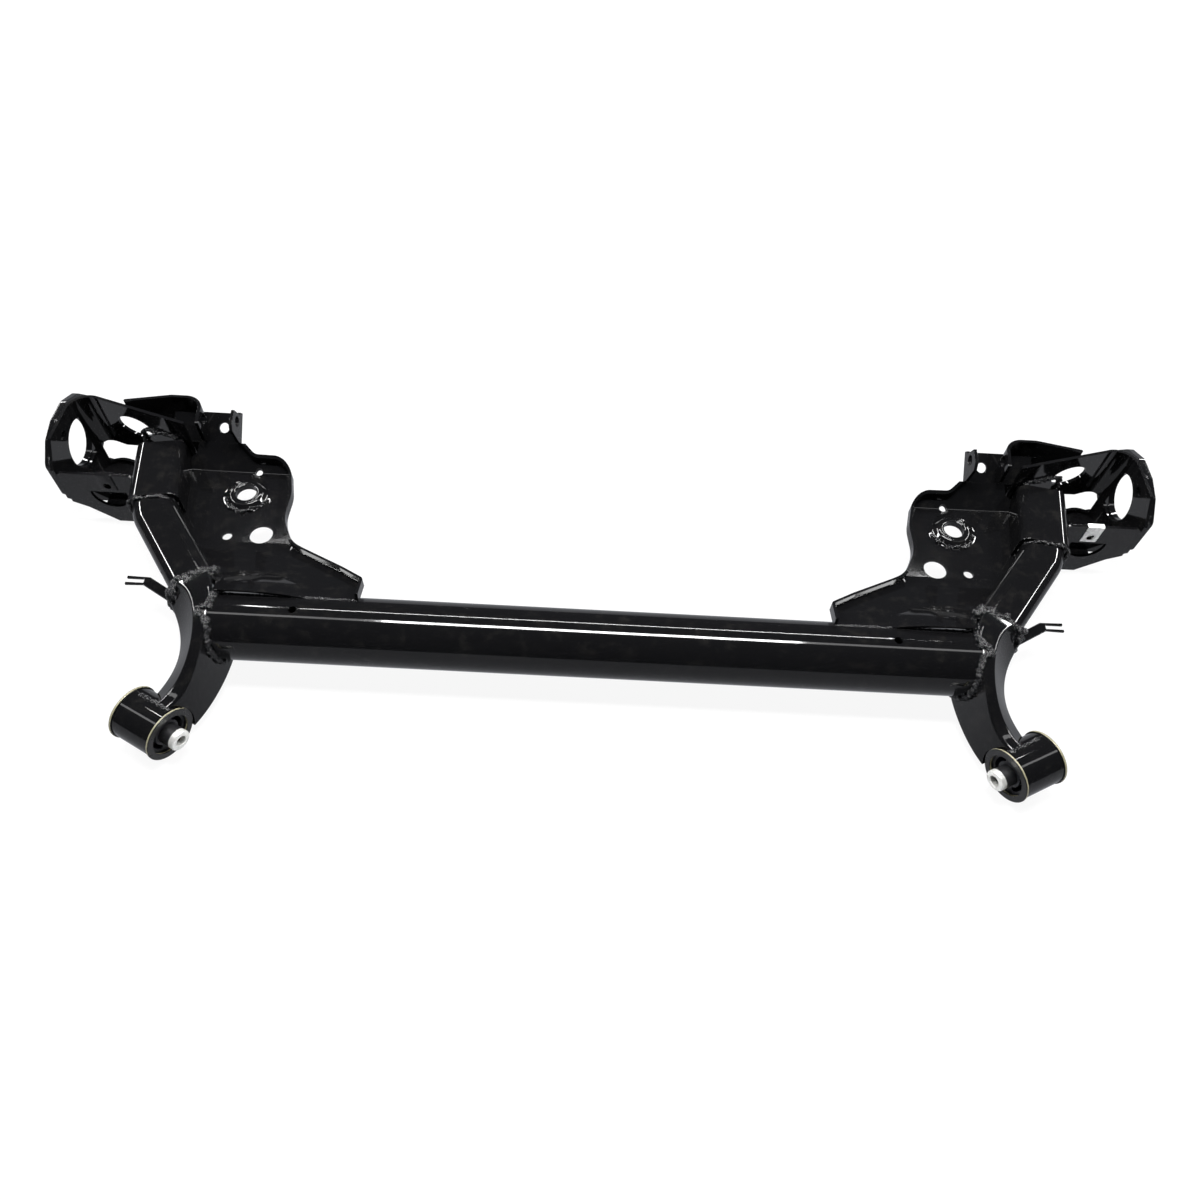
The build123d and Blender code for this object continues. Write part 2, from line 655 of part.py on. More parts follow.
finish("bush_housing", bush_housing.part)
finish("bush_outer_shell", bush_outer_shell.part)
finish("bush_rubber", bush_rubber.part)
finish("bush_inner_sleeve", bush_inner_sleeve.part)
finish("front_arm", front_arm.part)
finish("rear_arm", rear_arm.part)
finish("arm_saddle", arm_saddle.part)
finish("hub_plate", hub_plate.part)
finish("hub_bracket", hub_bracket.part)
finish("hub_front_wall", hub_front_wall.part)
finish("clip_nut", clip_nut.part)
finish("damper_bracket", damper_bracket.part)
finish("damper_clevis_plate", damper_clevis_plate.part)
finish("spring_pan", spring_pan.part)
finish("brake_line_bracket", brake_line_bracket.part)
pieces.append(("torsion_beam", beam))

os.makedirs("parts", exist_ok=True)
for name, part in pieces:
    part.label = name
    export_step(part, "parts/" + name + ".step")
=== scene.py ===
"""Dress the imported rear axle: gloss black paint, weld beads, bushes and a plain pale studio."""

import logging
import random
from dataclasses import dataclass, field
from enum import Enum
from math import atan2, cos, pi, radians, sin
from typing import Iterable, NamedTuple, Sequence

import bmesh
import bpy
from mathutils import Matrix, Vector
from mathutils.bvhtree import BVHTree


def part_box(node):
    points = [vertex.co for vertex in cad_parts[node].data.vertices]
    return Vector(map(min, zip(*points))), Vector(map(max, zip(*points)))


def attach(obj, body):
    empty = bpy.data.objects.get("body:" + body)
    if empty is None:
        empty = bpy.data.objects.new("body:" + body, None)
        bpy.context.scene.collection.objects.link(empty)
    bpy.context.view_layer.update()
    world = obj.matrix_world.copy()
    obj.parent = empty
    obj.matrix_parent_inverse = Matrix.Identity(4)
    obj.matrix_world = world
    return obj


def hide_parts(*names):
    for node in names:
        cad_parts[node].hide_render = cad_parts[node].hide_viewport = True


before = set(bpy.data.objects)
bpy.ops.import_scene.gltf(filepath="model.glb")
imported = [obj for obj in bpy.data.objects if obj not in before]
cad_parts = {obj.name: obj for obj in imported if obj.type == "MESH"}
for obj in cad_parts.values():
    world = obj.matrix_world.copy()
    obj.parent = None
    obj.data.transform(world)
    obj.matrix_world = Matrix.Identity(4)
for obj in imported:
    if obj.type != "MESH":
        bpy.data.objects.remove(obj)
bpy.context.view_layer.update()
NODES: dict[str, bpy.types.Object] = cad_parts
MM = 0.001
PLATE_REAR = 60.0
HUB_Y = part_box("hub_plate_left")[1].y / MM - PLATE_REAR
HUB_Z = 66.0
BEAM_Y = HUB_Y - 260.0
BEAM_Z = 55.0
BEAM_RADIUS = 39.0
ARM_Z = 58.0
WALL_AHEAD = 71.0
SEAT_STATION = 443.0
SEAT_BACK = -68.0
BUSH_YAW = radians(27.3)
BUSH = (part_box("bush_housing_left")[0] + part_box("bush_housing_left")[1]) / 2
DOUBLES = 0.00001
Piece = bpy.types.Object
Colour = tuple[float, float, float]
Spot = tuple[float, float, float]
Point = tuple[float, float]
log = logging.getLogger("axle")


def place(x: float, back: float, z: float) -> Vector:
    """Turn a place in millimetres, measured back from the hub, into metres.

    Args:
        x: Distance across the axle.
        back: Distance behind the hub's centre.
        z: Height above the floor.

    Returns:
        The same place in the frame.
    """
    return Vector((x, HUB_Y + back, z)) * MM


class Side(Enum):
    """The two ends of the axle."""

    LEFT = 1
    RIGHT = -1

    @property
    def word(self) -> str:
        """The word that ends a node's name on this side."""
        return self.name.lower()

    def at(self, spot: Spot) -> Vector:
        """Return a left hand place, such as place takes, on this side."""
        return place(self.value * spot[0], spot[1], spot[2])


class Value:
    """A shader value that does maths with plain operators."""

    def __init__(self, graph: "Graph", link: object) -> None:
        """Keep the graph and the socket or number that is wrapped."""
        self.graph = graph
        self.link = link

    def maths(self, operation: str, *others: object) -> "Value":
        """Add one Math node.

        Args:
            operation: What the node does.
            others: The terms that come after this value.

        Returns:
            The node's result.
        """
        node = self.graph.node("ShaderNodeMath", {"operation": operation}, {})
        for socket, term in zip(node.inputs, (self, *others)):
            self.graph.feed(socket, term)
        return Value(self.graph, node.outputs[0])

    def __add__(self, other: object) -> "Value":
        """Return the sum."""
        return self.maths("ADD", other)

    __radd__ = __add__

    def __mul__(self, other: object) -> "Value":
        """Return the product."""
        return self.maths("MULTIPLY", other)

    __rmul__ = __mul__

    def __sub__(self, other: object) -> "Value":
        """Return the difference."""
        return self.maths("SUBTRACT", other)

    def __rsub__(self, other: object) -> "Value":
        """Return the reflected difference."""
        return Value(self.graph, other).maths("SUBTRACT", self)

    def band(self, low: float, high: float) -> "Value":
        """Rise smoothly from 0 at low to 1 at high."""
        node = self.graph.node("ShaderNodeMapRange", {"interpolation_type": "SMOOTHSTEP"},
                               {"Value": self, "From Min": low, "From Max": high})
        return Value(self.graph, node.outputs[0])


class Graph:
    """The node tree of one material."""

    def __init__(self, name: str) -> None:
        """Start an empty material.

        Args:
            name: The material's name.
        """
        self.material = bpy.data.materials.new(name)
        self.material.use_nodes = True
        self.tree = self.material.node_tree
        self.tree.nodes.clear()
        self.output = self.node("ShaderNodeOutputMaterial", {}, {})
        self.coords = self.node("ShaderNodeTexCoord", {}, {}).outputs["Object"]

    def node(self, kind: str, settings: dict[str, object], values: dict[object, object]) -> bpy.types.Node:
        """Add one node.

        Args:
            kind: The node's type.
            settings: Its properties, set first.
            values: Numbers, colours or links for its sockets.

        Returns:
            The new node.
        """
        node = self.tree.nodes.new(kind)
        for key, setting in settings.items():
            setattr(node, key, setting)
        for key, term in values.items():
            self.feed(node.inputs[key], term)
        return node

    def feed(self, socket: bpy.types.NodeSocket, term: object) -> None:
        """Link or set one socket.

        Args:
            socket: The socket that is fed.
            term: A value, a socket to link, or a plain number or colour.
        """
        if isinstance(term, Value):
            term = term.link
        if isinstance(term, bpy.types.NodeSocket):
            self.tree.links.new(term, socket)
        else:
            socket.default_value = term

    def noise(self, scale: float, detail: float = 3.0, rough: float = 0.5) -> Value:
        """Return a noise pattern on the object's own coordinates."""
        node = self.node("ShaderNodeTexNoise", {}, {"Vector": self.coords, "Scale": scale, "Detail": detail,
                                                    "Roughness": rough})
        return Value(self, node.outputs["Fac"])

    def bush_axis(self) -> Value:
        """Measure the place along a bush's axis, on either side of the axle.

        Returns:
            The distance in metres from the bush's middle, more on the outer side.
        """
        parts = self.node("ShaderNodeSeparateXYZ", {}, {"Vector": self.coords}).outputs
        across = Value(self, parts["X"]).maths("ABSOLUTE") - BUSH.x
        back = Value(self, parts["Y"]) - BUSH.y
        return across * -cos(BUSH_YAW) - back * sin(BUSH_YAW)

    def mix(self, share: object, first: Sequence[float], second: Sequence[float]) -> Value:
        """Blend two colours.

        Args:
            share: How much there is of the second colour.
            first: The colour at 0.
            second: The colour at 1.

        Returns:
            The blended colour.
        """
        node = self.node("ShaderNodeMix", {"data_type": "RGBA"}, {0: share})
        self.feed(node.inputs[6], (*first, 1.0))
        self.feed(node.inputs[7], (*second, 1.0))
        return Value(self, node.outputs[2])

    def bump(self, height: Value) -> Value:
        """Turn a height in metres into a surface normal."""
        node = self.node("ShaderNodeBump", {}, {"Strength": 1.0, "Distance": 1.0, "Height": height})
        return Value(self, node.outputs[0])

    def finish(self, **sockets: object) -> bpy.types.Material:
        """Close the graph with a Principled shader.

        Args:
            sockets: What feeds the shader, by the sockets' names with underscores.

        Returns:
            The material.
        """
        names = {key: key.replace("_", " ").title().replace("Ior", "IOR") for key in sockets}
        node = self.node("ShaderNodeBsdfPrincipled", {}, {names[key]: term for key, term in sockets.items()})
        self.tree.links.new(node.outputs[0], self.output.inputs[0])
        return self.material


@dataclass(frozen=True)
class GlossPaint:
    """Deep gloss black paint with a faint orange peel and a little dust."""

    name: str = "gloss_black_paint"
    clean: Colour = (0.0032, 0.0032, 0.00352)
    dusty: Colour = (0.00768, 0.00736, 0.00704)
    shine: float = 0.03
    index: float = 1.42
    peel: float = 0.000004
    ripple: float = 0.000008
    wave: float = 0.00012

    def make(self) -> bpy.types.Material:
        """Build the paint.

        Returns:
            The paint's material.
        """
        graph = Graph(self.name)
        dust = graph.noise(60.0, 5.0, 0.65).band(0.5, 0.75)
        fine = graph.noise(900.0, 2.0)
        gloss = graph.noise(25.0, 3.0) * 0.03 + fine * 0.02 + self.shine
        height = graph.noise(22.0, 2.0) * self.wave + fine * self.peel + graph.noise(260.0, 2.0) * self.ripple
        return graph.finish(base_color=graph.mix(dust, self.clean, self.dusty), roughness=gloss,
                            normal=graph.bump(height), ior=self.index)


@dataclass(frozen=True)
class SeamPaint:
    """The same paint over rough weld beads and spatter."""

    name: str = "paint_on_welds"
    dark: Colour = (0.006, 0.006, 0.007)
    worn: Colour = (0.03, 0.03, 0.03)
    shine: float = 0.07
    relief: float = 0.0022
    index: float = 1.5

    def make(self) -> bpy.types.Material:
        """Build the paint on the welds.

        Returns:
            The paint's material.
        """
        graph = Graph(self.name)
        coarse = graph.noise(420.0, 4.0, 0.7)
        return graph.finish(base_color=graph.mix(coarse.band(0.45, 0.7), self.dark, self.worn),
                            roughness=coarse * 0.14 + self.shine, normal=graph.bump(coarse * self.relief),
                            ior=self.index)


@dataclass(frozen=True)
class RimCoat:
    """Black flanges with a thin olive zinc line round their edges."""

    name: str = "olive_rim_coat"
    black: Colour = (0.006, 0.006, 0.006)
    olive: Colour = (0.30, 0.28, 0.18)
    line_start: Point = (0.0252, 0.0255)
    line_end: Point = (0.0270, 0.0273)
    grain: float = 0.00002

    def make(self) -> bpy.types.Material:
        """Build the coat.

        Returns:
            The coat's material.
        """
        graph = Graph(self.name)
        along = graph.bush_axis().maths("ABSOLUTE")
        line = along.band(*self.line_start) * (1 - along.band(*self.line_end))
        stain = graph.noise(140.0, 4.0, 0.6)
        return graph.finish(base_color=graph.mix(line * (stain * 0.5 + 0.5), self.black, self.olive),
                            roughness=stain * 0.2 + 0.2, metallic=0.0,
                            normal=graph.bump(graph.noise(700.0) * self.grain))


@dataclass(frozen=True)
class BushRubber:
    """Moulded black rubber with a dry bloom."""

    name: str = "moulded_rubber"
    black: Colour = (0.010, 0.011, 0.014)
    dry: Colour = (0.030, 0.031, 0.034)
    grain: float = 0.0001

    def make(self) -> bpy.types.Material:
        """Build the rubber.

        Returns:
            The rubber's material.
        """
        graph = Graph(self.name)
        bloom = graph.noise(90.0, 5.0, 0.6)
        return graph.finish(base_color=graph.mix(bloom.band(0.4, 0.75), self.black, self.dry),
                            roughness=bloom * 0.2 + 0.35, normal=graph.bump(graph.noise(1200.0) * self.grain))


@dataclass(frozen=True)
class ClipZinc:
    """Bright plated spring steel with faint grain, for the bare clip nut."""

    name: str = "bright_clip"
    tone: Colour = (0.86, 0.86, 0.84)
    shade: float = 0.72
    grain: float = 0.0001

    def make(self) -> bpy.types.Material:
        """Build the plating.

        Returns:
            The plating's material.
        """
        graph = Graph(self.name)
        grain = graph.noise(300.0, 4.0, 0.6)
        darker = tuple(channel * self.shade for channel in self.tone)
        return graph.finish(base_color=graph.mix(grain.band(0.3, 0.7), darker, self.tone), metallic=0.55,
                            roughness=grain * 0.15 + 0.22, normal=graph.bump(grain * self.grain))


@dataclass(frozen=True)
class SleeveMetal:
    """Turned aluminium at the sleeve's ends, with black rubber moulded over the rest."""

    name: str = "turned_sleeve"
    tone: Colour = (0.78, 0.78, 0.75)
    rubber: Colour = (0.008, 0.008, 0.009)
    outer_end: Point = (0.0364, 0.0372)
    inner_end: Point = (-0.0310, -0.0300)
    grain: float = 0.0001

    def make(self) -> bpy.types.Material:
        """Build the sleeve's metal and its black cover.

        Returns:
            The sleeve's material.
        """
        graph = Graph(self.name)
        along = graph.bush_axis()
        bare = along.band(*self.outer_end).maths("MAXIMUM", 1 - along.band(*self.inner_end))
        grain = graph.noise(300.0, 4.0, 0.6)
        return graph.finish(base_color=graph.mix(bare * (grain * 0.4 + 0.75), self.rubber, self.tone),
                            metallic=bare * 0.5, roughness=0.42 - bare * 0.12,
                            normal=graph.bump(grain * self.grain))


class Finishes:
    """Every finish of the axle, made once."""

    def __init__(self) -> None:
        """Build all the materials."""
        self.paint = GlossPaint().make()
        self.seam = SeamPaint().make()
        self.rim = RimCoat().make()
        self.rubber = BushRubber().make()
        self.sleeve = SleeveMetal().make()
        self.clip = ClipZinc().make()


def pick(piece: Piece) -> None:
    """Deselect everything and select one object.

    Args:
        piece: The object that the next operator works on.
    """
    bpy.ops.object.select_all(action="DESELECT")
    piece.select_set(True)
    bpy.context.view_layer.objects.active = piece


def apply(piece: Piece, kind: str, **settings: object) -> None:
    """Add one modifier and apply it.

    Args:
        piece: The object that is shaped.
        kind: The modifier's type.
        settings: Its properties.
    """
    pick(piece)
    modifier = piece.modifiers.new(kind.lower(), kind)
    for key, setting in settings.items():
        setattr(modifier, key, setting)
    bpy.ops.object.modifier_apply(modifier=modifier.name)


def cut(piece: Piece, cutter: Piece) -> None:
    """Cut one object out of a piece, and remove it."""
    apply(piece, "BOOLEAN", object=cutter, operation="DIFFERENCE", solver="EXACT")
    bpy.data.objects.remove(cutter)


def new_piece(name: str, mesh: bmesh.types.BMesh) -> Piece:
    """Turn a finished mesh into an object.

    Args:
        name: The object's name, and its mesh's.
        mesh: The shape, which is freed.

    Returns:
        The new object, in the scene.
    """
    data = bpy.data.meshes.new(name)
    mesh.to_mesh(data)
    mesh.free()
    piece = bpy.data.objects.new(name, data)
    bpy.context.scene.collection.objects.link(piece)
    return piece


def block(name: str, low: Vector, high: Vector) -> Piece:
    """Make a plain box.

    Args:
        name: The box's name.
        low: One corner.
        high: The corner across from it.

    Returns:
        The box, with its place in its mesh.
    """
    bpy.ops.object.select_all(action="DESELECT")
    bpy.ops.mesh.primitive_cube_add(size=1.0, location=(low + high) / 2)
    box = bpy.context.view_layer.objects.active
    box.name = name
    box.scale = [abs(reach) for reach in high - low]
    bpy.ops.object.transform_apply(location=True, rotation=True, scale=True)
    return box


def drill(spot: Vector, radius: float, length: float, facets: int, tilt: float = 0.0) -> Piece:
    """Make a plain rod for a hole.

    Args:
        spot: The rod's middle.
        radius: Its radius in millimetres.
        length: Its length in millimetres.
        facets: How many faces go round it.
        tilt: How far it leans from upright, in radians.

    Returns:
        The rod.
    """
    bpy.ops.object.select_all(action="DESELECT")
    bpy.ops.mesh.primitive_cylinder_add(radius=radius * MM, depth=length * MM, vertices=facets,
                                        rotation=(tilt, 0, 0), location=spot)
    return bpy.context.view_layer.objects.active


def finish_piece(piece: Piece, material: bpy.types.Material) -> Piece:
    """Give a piece its material and slot, and let it ride on the axle.

    Args:
        piece: The finished shape.
        material: What it is made of or painted with.

    Returns:
        The same piece.
    """
    piece.data.materials.clear()
    piece.data.materials.append(material)
    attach(piece, "root")
    return piece


@dataclass(frozen=True)
class Copyist:
    """Makes smooth, edge-rounded pieces from the solids of CAD nodes."""

    edge_angle: float = radians(32.0)
    flat_angle: float = radians(0.4)

    def copy(self, node: str, bevel: float) -> Piece:
        """Copy one node as a clean mesh with rounded edges.

        Args:
            node: The CAD node's name.
            bevel: The edge radius in millimetres.

        Returns:
            The new piece, which replaces the node.
        """
        piece = bpy.data.objects.new(node + "_skin", NODES[node].data.copy())
        bpy.context.scene.collection.objects.link(piece)
        pick(piece)
        bpy.ops.object.mode_set(mode="EDIT")
        bpy.ops.mesh.select_all(action="SELECT")
        bpy.ops.mesh.remove_doubles(threshold=DOUBLES)
        bpy.ops.mesh.dissolve_limited(angle_limit=self.flat_angle)
        bpy.ops.object.mode_set(mode="OBJECT")
        apply(piece, "BEVEL", width=bevel * MM, segments=2, limit_method="ANGLE", angle_limit=self.edge_angle,
              use_clamp_overlap=True, miter_outer="MITER_ARC")
        pick(piece)
        bpy.ops.object.shade_smooth_by_angle(angle=self.edge_angle)
        apply(piece, "WEIGHTED_NORMAL", mode="FACE_AREA", weight=50, keep_sharp=True)
        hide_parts(node)
        return piece


class Prober:
    """Finds points on the CAD nodes, so that the beads lie on them."""

    def __init__(self) -> None:
        """Start with no trees."""
        self.trees: dict[str, BVHTree] = {}

    def tree(self, node: str) -> BVHTree:
        """Find a node's search tree, which is made on first use.

        Args:
            node: The CAD node's name.

        Returns:
            The tree of its faces.
        """
        if node not in self.trees:
            mesh = NODES[node].data
            self.trees[node] = BVHTree.FromPolygons([v.co.copy() for v in mesh.vertices],
                                                    [tuple(p.vertices) for p in mesh.polygons])
        return self.trees[node]

    def hit(self, node: str, origin: Vector, direction: Vector) -> Vector | None:
        """Return the first point where a ray from origin meets the node, if any."""
        return self.tree(node).ray_cast(origin, direction.normalized())[0]


@dataclass
class WeldBead:
    """One weld bead: short overlapping pools of metal along a line, with lumps and spatter."""

    name: str
    line: list[Vector]
    radius: float = 3.0
    pitch: float = 0.75
    rough: float = 0.34
    strands: int = 1
    seed: int = 1
    spread: Point = (0.8, 1.25)
    swell: Point = (0.7, 1.15)
    flatness: float = 0.85
    lean: float = 0.5
    voxel: float = 0.24
    lump: float = 0.35
    lump_size: float = 0.0022

    def spaced(self, step: float) -> list[Vector]:
        """Divide the line into even steps.

        Args:
            step: The distance between two pools, in metres.

        Returns:
            The pools' places along the line.
        """
        spots, ahead = [self.line[0].copy()], step
        for start, end in zip(self.line, self.line[1:]):
            run = (end - start).length
            while ahead < run:
                spots.append(start.lerp(end, ahead / run))
                ahead += step
            ahead -= run
        return spots

    def pool(self, mesh: bmesh.types.BMesh, spot: Vector, size: float, luck: random.Random) -> None:
        """Add one pool of metal, as a squashed and turned ball.

        Args:
            mesh: The bead so far.
            spot: The pool's middle.
            size: Its radius in metres.
            luck: Where its turn and shape are drawn from.
        """
        turn = Matrix.Rotation(luck.uniform(0, pi), 4, "Z")
        turn = turn @ Matrix.Rotation(luck.uniform(-self.lean, self.lean), 4, "X")
        wide, long = luck.uniform(*self.spread), luck.uniform(*self.spread)
        scale = Matrix.Diagonal((size * wide, size * long, size * self.flatness, 1.0))
        shape = Matrix.Translation(spot) @ turn @ scale
        bmesh.ops.create_icosphere(mesh, subdivisions=2, radius=1.0, matrix=shape)

    def make(self, finishes: Finishes) -> Piece:
        """Build the bead.

        Args:
            finishes: The axle's finishes.

        Returns:
            The bead, as it rides on the axle.
        """
        luck = random.Random(self.seed)
        radius = self.radius * MM
        mesh = bmesh.new()
        for strand in range(self.strands):
            for spot in self.spaced(radius * self.pitch):
                shift = Vector([luck.uniform(-1, 1) for _ in range(3)]) * radius * self.rough * (1 + strand)
                self.pool(mesh, spot + shift, radius * luck.uniform(*self.swell), luck)
        bead = new_piece(self.name, mesh)
        apply(bead, "REMESH", mode="VOXEL", voxel_size=radius * self.voxel)
        lumps = bpy.data.textures.new(self.name + "_lumps", "CLOUDS")
        lumps.noise_scale = self.lump_size
        apply(bead, "DISPLACE", texture=lumps, strength=radius * self.lump, mid_level=0.5)
        pick(bead)
        bpy.ops.object.shade_smooth()
        return finish_piece(bead, finishes.seam)


class Plate(NamedTuple):
    """A small plate of the left side, between two corners that place takes."""

    name: str
    low: Spot
    high: Spot


@dataclass
class PaintedShells:
    """The painted pressings, tubes and plates of the axle, each with its edge radius in millimetres."""

    finishes: Finishes
    edges: dict[str, float] = field(default_factory=lambda: {
        "bush_housing": 0.5, "front_arm": 0.9, "rear_arm": 0.5, "arm_saddle": 0.8, "hub_plate": 0.8,
        "hub_bracket": 0.7, "hub_front_wall": 0.6, "damper_bracket": 0.6, "damper_clevis_plate": 0.6,
        "spring_pan": 0.6, "brake_line_bracket": 0.4})
    corner: Plate = Plate("cutter", (582, -20, -5), (690, 80, 98))
    # Dark plates behind the front wall's arch and beside the arm's end: painted shade, sheets that stand in
    # for the shade inside these openings.
    pockets: tuple[Plate, ...] = (
        Plate("back", (590, 12 - WALL_AHEAD, 22), (656, 14 - WALL_AHEAD, 62)),
        Plate("end", (508, 9, 42), (546, 11, 73)),
        Plate("lip", (600, 1.5 - WALL_AHEAD, 25.5), (630, 13 - WALL_AHEAD, 27.5)))
    pocket_edge: float = 0.6

    def make(self) -> list[Piece]:
        """Build every painted piece.

        Returns:
            The pieces.
        """
        copyist, pieces = Copyist(), []
        for kind, bevel in self.edges.items():
            for side in Side:
                piece = copyist.copy(f"{kind}_{side.word}", bevel)
                if kind == "damper_bracket":
                    self.trim(piece, side)
                pieces.append(finish_piece(piece, self.finishes.paint))
        for side in Side:
            # The dark plates stand in for the shade inside the openings.
            pieces += [self.pocket(side, plate) for plate in self.pockets]
        return pieces

    def trim(self, piece: Piece, side: Side) -> None:
        """Cut the bracket's lower outboard corner away, behind the rear wall's oval hole."""
        cut(piece, block(self.corner.name, side.at(self.corner.low), side.at(self.corner.high)))

    def pocket(self, side: Side, plate: Plate) -> Piece:
        """Put in one small dark plate, behind the front wall's arch or beside the arm's end, as painted shade:
        a dark sheet that stands in for the shade inside the opening.

        Args:
            side: The end of the axle.
            plate: The plate on the left side.

        Returns:
            The painted plate.
        """
        piece = block(f"pocket_{plate.name}_{side.word}", side.at(plate.low), side.at(plate.high))
        apply(piece, "BEVEL", width=self.pocket_edge * MM, segments=2)
        return finish_piece(piece, self.finishes.paint)


@dataclass
class Bushes:
    """The bushes at the front ends of the arms, and the clip nuts."""

    finishes: Finishes
    shell_edge: float = 0.4
    rubber_edge: float = 0.8
    sleeve_edge: float = 0.4
    clip_edge: float = 0.3
    clip_hole: Spot = (611, -WALL_AHEAD, 68)
    clip_hole_radius: float = 4.6
    clip_hole_length: float = 60.0
    clip_foot: Plate = Plate("foot", (590, -12 - WALL_AHEAD, 40), (632, 1 - WALL_AHEAD, 60))

    def bush(self, side: Side, copyist: Copyist) -> list[Piece]:
        """Build one bush.

        Args:
            side: The end of the axle.
            copyist: The maker of clean copies.

        Returns:
            Its shell, rubber and sleeve.
        """
        parts = (("bush_outer_shell", self.finishes.rim, "shell_coat", self.shell_edge),
                 ("bush_rubber", self.finishes.rubber, "bush_rubber", self.rubber_edge),
                 ("bush_inner_sleeve", self.finishes.sleeve, "sleeve_metal", self.sleeve_edge))
        return [finish_piece(copyist.copy(f"{kind}_{side.word}", bevel), finish)
                for kind, finish, slot, bevel in parts]

    def clip_nut(self, side: Side, copyist: Copyist) -> Piece:
        """Build one push-on nut: bare metal on the left, painted over on the right.

        Args:
            side: The end of the axle.
            copyist: The maker of clean copies.

        Returns:
            The nut.
        """
        nut = copyist.copy(f"clip_nut_{side.word}", self.clip_edge)
        cut(nut, drill(side.at(self.clip_hole), self.clip_hole_radius, self.clip_hole_length, 40, pi / 2))
        cut(nut, block(self.clip_foot.name, side.at(self.clip_foot.low), side.at(self.clip_foot.high)))
        if side is Side.LEFT:
            return finish_piece(nut, self.finishes.clip)
        return finish_piece(nut, self.finishes.paint)

    def make(self) -> list[Piece]:
        """Build both bushes and both clip nuts.

        Returns:
            The pieces.
        """
        copyist, pieces = Copyist(), []
        for side in Side:
            pieces += [*self.bush(side, copyist), self.clip_nut(side, copyist)]
        return pieces


class Hoop(NamedTuple):
    """A weld's run over an arm tube and across its line, in millimetres and degrees.

    Width is half the tube's width, top its height above the middle, corner its corner radius, and below is how
    far under the middle the run ends.
    """

    middle: Spot
    heading: float
    width: float
    top: float
    corner: float
    below: float

    def line(self) -> list[Vector]:
        """Follow the tube's outline.

        Returns:
            The outline's points, from one low end over the top to the other.
        """
        across = Vector((cos(radians(self.heading)), -sin(radians(self.heading)), 0))
        radius, shoulder = self.corner, self.top - self.corner
        flat = [(-self.width, -self.below), (-self.width, shoulder)]
        flat += [(-self.width + radius - radius * cos(turn), shoulder + radius * sin(turn))
                 for turn in (pi / 8, pi / 4, 3 * pi / 8, pi / 2)]
        flat += [(-u, v) for u, v in reversed(flat)]
        return [place(*self.middle) + across * (u * MM) + Vector((0, 0, v * MM)) for u, v in flat]


